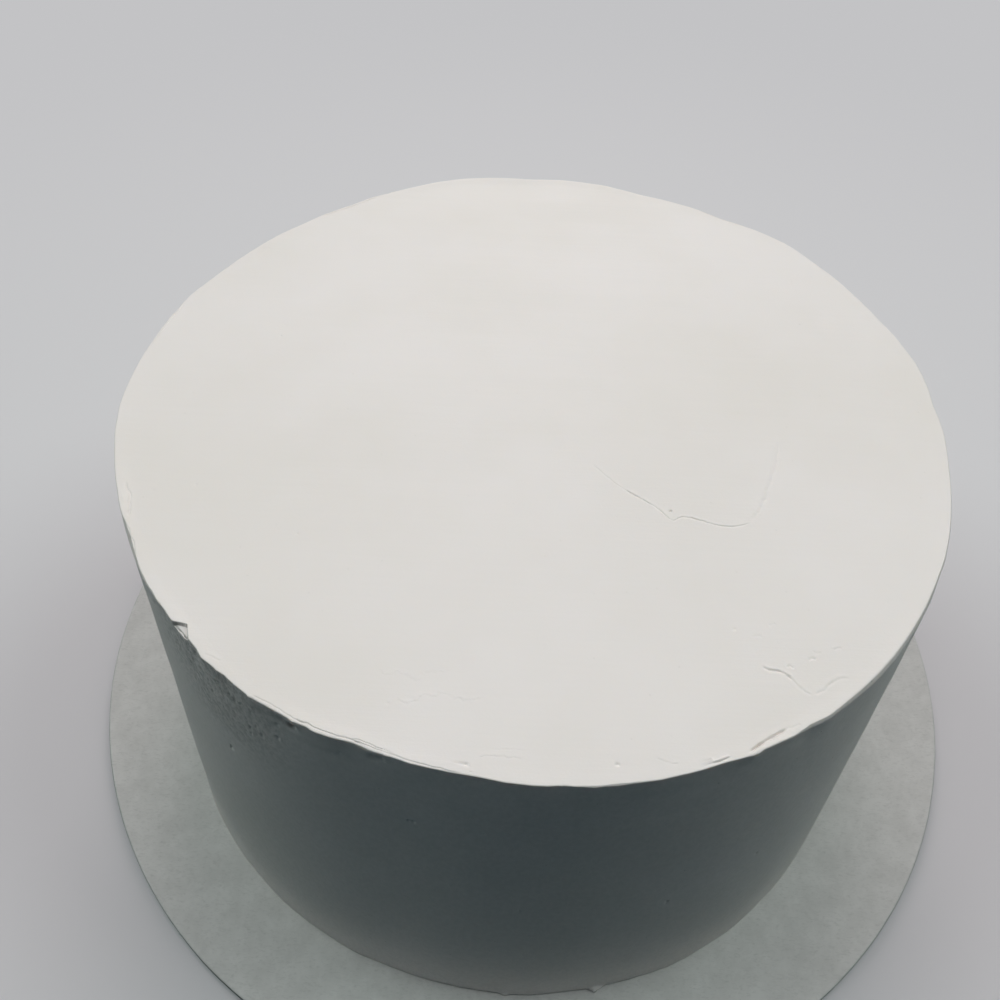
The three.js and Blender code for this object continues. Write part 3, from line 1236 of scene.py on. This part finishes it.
    @staticmethod
    def beside(line: np.ndarray, spots: np.ndarray) -> tuple[np.ndarray, np.ndarray]:
        """Measures spots against a line.

        Args:
            line: The line's points.
            spots: The places to measure.

        Returns:
            The distance to the line, positive on its left, and the share of the way along it.
        """
        steps = line[1:] - line[:-1]
        lengths = np.hypot(steps[:, 0], steps[:, 1])
        so_far = np.concatenate([[0.0], np.cumsum(lengths)])
        best = np.full(len(spots), 1e9)
        along = np.zeros(len(spots))
        for start, step, length, before in zip(line, steps, lengths, so_far):
            away = spots - start
            share = np.clip((away @ step) / length ** 2, 0, 1)
            gap = away - share[:, None] * step
            far = np.hypot(gap[:, 0], gap[:, 1])
            nearer = far < abs(best)
            side = np.sign(step[0] * away[:, 1] - step[1] * away[:, 0])
            best = np.where(nearer, far * np.where(side == 0, 1, side), best)
            along = np.where(nearer, (before + share * length) / so_far[-1], along)
        return best, along

    def marks(self) -> list[Stroke | Dimple]:
        """Every stroke and dimple in the icing, listed and scattered."""
        return [*STROKES, *DIMPLES, *self.scattered_pits()]

    def distance_to(self, mark: Stroke | Dimple, points: np.ndarray) -> np.ndarray:
        """Measures points against a mark.

        Args:
            mark: The mark to measure from.
            points: Places in millimetres from the cake's axis.

        Returns:
            Each point's distance to the mark in millimetres, or a lot if it is far off.
        """
        spots = self.flatten(mark.chart, points)
        line = mark.line if isinstance(mark, Stroke) else (mark.place,)
        drawn = self.draw_line(mark.chart, line)
        upper = points[:, 2] > self.height - 1.2
        fits = upper if mark.chart is not Chart.WALL else np.ones(len(points), bool)
        low, high = drawn.min(axis=0) - 3, drawn.max(axis=0) + 3
        fits &= np.all((spots > low) & (spots < high), axis=1)
        far = np.full(len(points), 99.0)
        if isinstance(mark, Stroke):
            far[fits] = abs(self.beside(self.rounded(drawn), spots[fits])[0])
        else:
            far[fits] = np.hypot(*(spots[fits] - drawn[0]).T)
        return far

    def refine(self, work: Workpiece) -> None:
        """Cuts the mesh finer at the rim and near each mark, so that it can hold their shape.

        Args:
            work: The cake as it stands.
        """
        everywhere, front = (0.0, FULL_TURN), (195.0, 340.0)
        for sector, reach in ((everywhere, 5.0), (everywhere, 1.3), (front, 0.9)):
            middle = sum(work.edge_ends()) / 2
            degrees = bearing(middle)
            inset = self.rim_radius(degrees) - radius_of(middle)
            rim = (middle[:, 2] > self.height - reach) & (inset < min(reach, 1.5))
            work.split_round(rim & (degrees > sector[0]) & (degrees < sector[1]))
        for _ in range(6):
            centres, sizes = work.face_centres(), work.face_sizes()
            close = (self.inside_chip(centres)[0] > -0.15 - 0.6 * sizes) & (sizes > 0.09)
            close |= self.on_a_crease(centres, sizes)
            for mark in self.marks():
                fine = mark.width if isinstance(mark, Stroke) else 0.8 * mark.radius
                reach = 0.7 * sizes + 1.6 * fine
                close |= (sizes > 0.7 * fine) & (self.distance_to(mark, centres) < reach)
            LOG.info("refining %d of %d faces", close.sum(), len(close))
            work.refine(close & (centres[:, 2] > TOUCHING))
        work.drop_slivers()

    def on_a_crease(self, centres: np.ndarray, sizes: np.ndarray) -> np.ndarray:
        """Finds the faces on a fold's crease that are still too coarse to hold it.

        Args:
            centres: The faces' middles in millimetres from the cake's axis.
            sizes: The side of a square as large as each face, in millimetres.

        Returns:
            True for each such face.
        """
        degrees = bearing(centres)
        rim = self.kinked_radius(degrees)
        inset = rim - radius_of(centres)
        found = np.zeros(len(centres), bool)
        for fold in FOLDS:
            turns, depths = np.array(fold.line).T
            within = (degrees > turns[0]) & (degrees < turns[-1])
            found |= within & (abs(np.interp(degrees, turns, depths) - inset) < 0.3 + 0.6 * sizes)
        return found & (sizes > 0.11) & (centres[:, 2] > self.height - 0.3)

    def inside_chip(self, points: np.ndarray) -> tuple[np.ndarray, np.ndarray]:
        """Measures points against the chip in the rim.

        Args:
            points: Places in millimetres from the cake's axis.

        Returns:
            How far each lies inside the chip, negative outside it, and how far out from its
            inner corner.
        """
        inner = np.array(CHIP.inner)
        left = np.array(CHIP.left) - inner
        right = np.array(CHIP.right) - inner
        left, right = left / np.hypot(*left), right / np.hypot(*right)
        away = points[:, :2] - inner
        from_left = left[0] * away[:, 1] - left[1] * away[:, 0]
        from_right = away[:, 0] * right[1] - away[:, 1] * right[0]
        near = (np.hypot(away[:, 0], away[:, 1]) < 9) & (points[:, 2] > self.height - 3)
        return np.where(near, np.minimum(from_left, from_right), -9.0), away @ (left + right) / 2

    def chip_depth(self, points: np.ndarray) -> np.ndarray:
        """Reads how deep the chip in the rim is.

        Args:
            points: Places in millimetres from the cake's axis.

        Returns:
            Millimetres down for each point, and 0 outside the chip.
        """
        inside, run = self.inside_chip(points)
        degrees = bearing(points)
        inset = self.rim_radius(degrees) - radius_of(points)
        # The torn floor falls away once more just before it meets the wall.
        brink = CHIP.brink * smooth(inset, 0.55, 0.05)
        depth = smooth(inside, 0, 0.09) * (CHIP.drop + CHIP.slope * run + brink)
        return np.where(inside > 0, depth, 0)

    def shave_rim(self, points: np.ndarray) -> None:
        """Planes the rim: each point that stands proud of a slant is laid square onto it.

        Args:
            points: Places in millimetres from the cake's axis, which are moved as they stand.
        """
        for shave in SHAVES:
            degrees = bearing(points)
            radius = np.maximum(radius_of(points), 1e-6)
            rim = self.kinked_radius(degrees)
            inset = rim - radius + 0.05 * grain(points * (1, 1, 0), 1.4, 19.0)
            proud = shave.plane(degrees, inset, points[:, 2] - self.height)
            tilt = math.hypot(1, shave.steepness)
            points[:, :2] *= (1 - proud * shave.steepness / tilt / radius)[:, None]
            points[:, 2] -= proud / tilt

    def stroke_lift(
        self, mark: Stroke, line: np.ndarray, points: np.ndarray, spots: np.ndarray
    ) -> np.ndarray:
        """Reads how far a stroke lifts points, its groove being a negative lift.

        Args:
            mark: The stroke.
            line: Its line, as draw_line() gives it.
            points: Places in millimetres from the cake's axis.
            spots: The same places, as flatten() gives them.

        Returns:
            Millimetres, one for each point.
        """
        stray = grain(points, 0.9, 14.0) + 0.5 * grain(points, 0.35, 15.0)
        gap, along = self.beside(self.rounded(line), spots)
        gap = gap + mark.waver * stray
        taper = smooth(along, 0, 0.12) * smooth(along, 1, 0.88)
        taper *= 0.75 + 0.5 * grain(points, 1.6, 16.0)
        groove = -mark.depth * np.exp(-1.4 * (abs(gap) / mark.width) ** 1.5)
        crest = 1.6 * mark.width * np.sign(mark.burr)
        burr = abs(mark.burr) * np.exp(-(((gap - crest) / (1.2 * mark.width)) ** 2))
        return taper * (groove + burr)

    def dimple_lift(self, mark: Dimple, middle: np.ndarray, spots: np.ndarray) -> np.ndarray:
        """Reads how far a dimple lifts points, a pit being a negative lift.

        Args:
            mark: The dimple.
            middle: Its place, as draw_line() gives it.
            spots: Places, as flatten() gives them.

        Returns:
            Millimetres, one for each point.
        """
        away = spots - middle
        if mark.chart is Chart.WALL and mark.depth > 0:
            # The scraper drew each open bubble out downwards, under an upper lip.
            away[:, 1] *= np.where(away[:, 1] < 0, 1 / 3, 1.5)
        return -mark.depth * np.exp(-((np.hypot(*away.T) / mark.radius) ** 2) * 1.6)

    def press(self, work: Workpiece) -> None:
        """Presses every mark into the icing, and takes off the shaved and chipped rim.

        Args:
            work: The cake as it stands.
        """
        points = work.points()
        up = smooth(work.upness(), 0.25, 0.85)
        sink, push = np.zeros(len(points)), np.zeros(len(points))
        for mark in self.marks():
            spots = self.flatten(mark.chart, points)
            drawn = mark.line if isinstance(mark, Stroke) else (mark.place,)
            line = self.draw_line(mark.chart, drawn)
            near = self.distance_to(mark, points) < 3
            if not near.any():
                continue
            if isinstance(mark, Stroke):
                lift = self.stroke_lift(mark, line, points[near], spots[near])
            else:
                lift = self.dimple_lift(mark, line[0], spots[near])
            if mark.chart is Chart.WALL:
                push[near] += lift * (1 - up[near])
            else:
                sink[near] += lift * up[near]
        radius = np.maximum(radius_of(points), 1e-6)
        points[:, 2] += sink
        points[:, :2] *= (1 + push / radius)[:, None]
        degrees = bearing(points)
        rim = self.kinked_radius(degrees)
        inset = rim - radius_of(points) + 0.12 * grain(points, 1.2, 17.0)
        on_top = smooth(points[:, 2], self.height - 0.5, self.height - 0.2)
        points[:, 2] -= on_top * sum(f.read(degrees, inset) for f in FOLDS)
        chipped = self.chip_depth(points)
        cut = self.height + 0.1 - chipped + sink
        points[:, 2] = np.where(chipped > 0, np.minimum(points[:, 2], cut), points[:, 2])
        self.shave_rim(points)
        points[:, 2] = np.clip(points[:, 2], 0, self.tallest)
        work.move_points(points)

    def build(self) -> bpy.types.Object:
        """Models the cake.

        Returns:
            The finished piece, dressed in buttercream.
        """
        work = self.blank()
        self.swell(work)
        self.refine(work)
        self.raise_ridge(work)
        self.scrape(work)
        self.press(work)
        cake = work.finish()
        cake.data.materials.append(Buttercream().make())
        return cake


# ---- The board --------------------------------------------------------------------------


@dataclass
class CakeBoard:
    """The round of pressed card under the cake. Sizes are in millimetres."""

    centre: Vector
    radius: float
    thickness: float
    cake_axis: Vector
    cake_radius: float
    edge_round: float = 0.35
    curl: float = 0.9
    flat_to: float = 84.0
    plies: int = 3
    sides: int = 360
    bite_at: float = 338.5

    def build(self) -> bpy.types.Object:
        """Models the board: a cut disc with its plies showing at the edge.

        Returns:
            The finished piece, dressed in pressed card.
        """
        work = Workpiece("cake_board_disc", self.sides, self.radius * MM, self.centre)
        work.raise_wall(self.thickness, self.radius, self.radius)
        work.round_edge(self.thickness, self.edge_round, 3)
        work.round_edge(0.0, self.edge_round, 3)
        work.ring_wall(self.edge_round, self.thickness - self.edge_round, 8)
        work.cap_with_grid([0.5, 0.8, 1.2, 1.6])
        work.ring_underside([2.0, 3.0, 4.0, 5.0, 6.0])
        points = work.points()
        radius = radius_of(points)
        degrees = bearing(points)
        at_edge = smooth(radius, self.radius - 1.2, self.radius - 0.2)
        # The cutter crushes the edge a little, and the seams between the plies open by a hair.
        seams = 0.5 - 0.5 * np.cos(2 * np.pi * self.plies * points[:, 2] / self.thickness)
        worn = 0.05 * np.abs(grain(points * (1, 1, 3), 1.6, 11.0))
        worn += 0.1 * np.abs(grain(points * (1, 1, 0), 14, 12.0))
        bite = (degrees - self.bite_at + FULL_TURN / 2) % FULL_TURN - FULL_TURN / 2
        worn += 0.7 * np.exp(-((np.radians(bite) * self.radius / 0.5) ** 2))
        stretch = 1 - at_edge * (worn + 0.08 * (1 - seams)) / self.radius
        # Card is never quite flat where nothing presses on it.
        offset = (np.array(self.cake_axis) - np.array(self.centre))[:2] / MM
        from_cake = np.hypot(*(points[:, :2] - offset).T)
        clear = smooth(from_cake, self.cake_radius + 1, self.radius - 4)
        dip = 0.14 * np.abs(grain(points * (1, 1, 0), 38, 13.0)) * clear
        points[:, :2] *= stretch[:, None]
        points[:, 2] -= np.where(points[:, 2] > self.thickness / 2, dip, 0)
        # With the cake's weight in the middle, the free edge curls up by about its own half.
        free = np.clip((radius - self.flat_to) / (self.radius - self.flat_to), 0, 1) ** 2
        points[:, 2] += self.curl * free * (1 + 0.12 * grain(points * (1, 1, 0), 60, 18.0))
        work.move_points(points)
        board = work.finish()
        board.data.materials.append(PressedCard().make())
        return board


# ---- The studio -------------------------------------------------------------------------


@dataclass(frozen=True)
class SoftLight:
    """A large soft light: where it stands, what it points at and how strong it is."""

    name: str
    place: tuple[float, float, float]
    aim: tuple[float, float, float]
    size: float
    watts: float
    colour: str

    def add(self) -> None:
        """Adds the light to the scene."""
        light = bpy.data.lights.new(self.name, "AREA")
        light.shape = "DISK"
        light.size = self.size
        light.energy = self.watts
        light.color = linear(self.colour)[:3]
        stand = bpy.data.objects.new(self.name, light)
        stand.location = self.place
        towards = Vector(self.aim) - Vector(self.place)
        stand.rotation_euler = towards.to_track_quat("-Z", "Y").to_euler()
        bpy.context.scene.collection.objects.link(stand)


@dataclass
class Studio:
    """A pale table under broad soft lights, seen from close by and well above.

    The camera looks at the board's middle from a distance in metres, and then slides and lifts
    by metres in its own plane. The world's share of the light is a strength, not a power.
    """

    board_top: Vector
    distance: float = 0.2534
    down_degrees: float = 49.3166
    roll_degrees: float = 2.5306
    slide: float = -0.0062
    lift: float = 0.0392
    lens: float = 36.1
    clip_start: float = 0.01
    table_size: float = 6.0
    world_light: str = "5ADFFF"
    world_strength: float = 0.026
    room: str = PaintedTable.room

    def add_table(self) -> None:
        """Lays the table under the board."""
        clear_selection()
        bpy.ops.mesh.primitive_plane_add(size=self.table_size, location=(0, 0, -0.05 * MM))
        table = bpy.context.object
        table.name = "table_top"
        bpy.ops.object.transform_apply(location=True, rotation=True, scale=True)
        table.data.materials.append(PaintedTable().make())
        # The table would throw as much light up the wall as the lights throw down on the top.
        table.visible_diffuse = False

    def add_lights(self) -> None:
        """Hangs broad lights over and behind the cake, with weak fills low at the sides."""
        aim = (0.0, 0.0, 0.09)
        lights = (
            SoftLight("overhead", (0.0, 0.0, 1.25), aim, 0.85, 2.8, "FCFCFF"),
            SoftLight("overhead_back", (0.0, 0.3, 1.25), aim, 0.85, 1.35, "FFE0E4"),
            SoftLight("behind", (0.0, 1.3, 0.9), aim, 0.9, 7.0, "FFF6F6"),
            SoftLight("behind_right", (0.8, 1.15, 0.5), aim, 0.9, 0.6, "FFDCDC"),
            SoftLight("upper_left", (-0.8, 0.2, 1.2), aim, 0.8, 6.2, "EEFFF9"),
            SoftLight("upper_right", (0.8, 0.2, 1.2), aim, 0.8, 6.3, "EEFFF9"),
            SoftLight("low_left", (-1.3, 0.25, 0.5), aim, 0.9, 0.3, "80FFD0"),
            SoftLight("low_right", (1.3, 0.25, 0.5), aim, 0.9, 0.28, "80FFD0"),
        )
        for light in lights:
            light.add()
        world = bpy.data.worlds.new("pale_room")
        bpy.context.scene.world = world
        world.use_nodes = True
        tree = world.node_tree
        sky = tree.nodes["Background"]
        sky.inputs["Color"].default_value = linear(self.world_light)
        sky.inputs["Strength"].default_value = self.world_strength
        # The room is dim where it lights the cake, and a plain pale grey where it is seen.
        seen = add_node(tree, "Background", {"Color": linear(self.room), "Strength": 1.0})
        kind = add_node(tree, "LightPath")
        both = add_node(tree, "MixShader", {
            0: kind.outputs["Is Camera Ray"], 1: sky.outputs[0], 2: seen.outputs[0],
        })
        tree.links.new(both.outputs[0], tree.nodes["World Output"].inputs["Surface"])

    def add_camera(self) -> None:
        """Sets the camera in front of the cake, looking steeply down on it."""
        down, roll = math.radians(self.down_degrees), math.radians(self.roll_degrees)
        forward = Vector((0, math.cos(down), -math.sin(down)))
        level = Vector((1, 0, 0))
        upward = Vector((0, math.sin(down), math.cos(down)))
        right = math.cos(roll) * level + math.sin(roll) * upward
        top = -math.sin(roll) * level + math.cos(roll) * upward
        place = self.board_top - forward * self.distance + level * self.slide + upward * self.lift
        turn = Matrix((right, top, -forward)).transposed().to_4x4()
        lens = bpy.data.cameras.new("camera")
        lens.sensor_width = 36.0
        lens.lens = self.lens
        lens.clip_start = self.clip_start
        camera = bpy.data.objects.new("camera", lens)
        camera.matrix_world = Matrix.Translation(place) @ turn
        bpy.context.scene.collection.objects.link(camera)
        bpy.context.scene.camera = camera

    def build(self) -> None:
        """Sets up the table, the lights, the camera and how the picture is developed."""
        self.add_camera()
        self.add_table()
        self.add_lights()
        bpy.context.scene.view_settings.view_transform = "Standard"


# ---- The whole thing --------------------------------------------------------------------


def stand_in(piece: bpy.types.Object, node: str) -> None:
    """Puts a finished piece in the place of a CAD node.

    Args:
        piece: The finished piece.
        node: The CAD node that it stands for.
    """
    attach(piece, "root")
    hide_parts(node)
    LOG.info("%s stands for %s", piece.name, node)


def main() -> None:
    """Builds the board, the cake and the studio, and logs how many triangles each piece came out
    with.
    """
    logging.basicConfig(level=logging.INFO, format="%(name)s: %(message)s")
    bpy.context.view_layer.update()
    mounts = {m["name"]: Vector(m["pos_m"]) for m in frame["record"]["mounts"]}
    board_low, board_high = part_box("cake_board")
    cake_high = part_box("iced_cake")[1]
    top = mounts["cake_top"]
    axis = Vector((top.x, top.y, board_high.z))
    cake = IcedCake(
        axis=axis,
        height=(top.z - axis.z) / MM,
        tallest=(cake_high.z - axis.z) / MM,
        foot_radius=FOOT_RADIUS,
        top_radius=TOP_RADIUS,
    )
    board = CakeBoard(
        centre=mounts["board_underside"],
        radius=(board_high.x - board_low.x) / 2 / MM,
        thickness=(board_high.z - board_low.z) / MM,
        cake_axis=axis,
        cake_radius=FOOT_RADIUS,
    )
    Studio(board_top=axis).build()
    stand_in(board.build(), "cake_board")
    stand_in(cake.build(), "iced_cake")


if __name__ == "__main__":
    main()
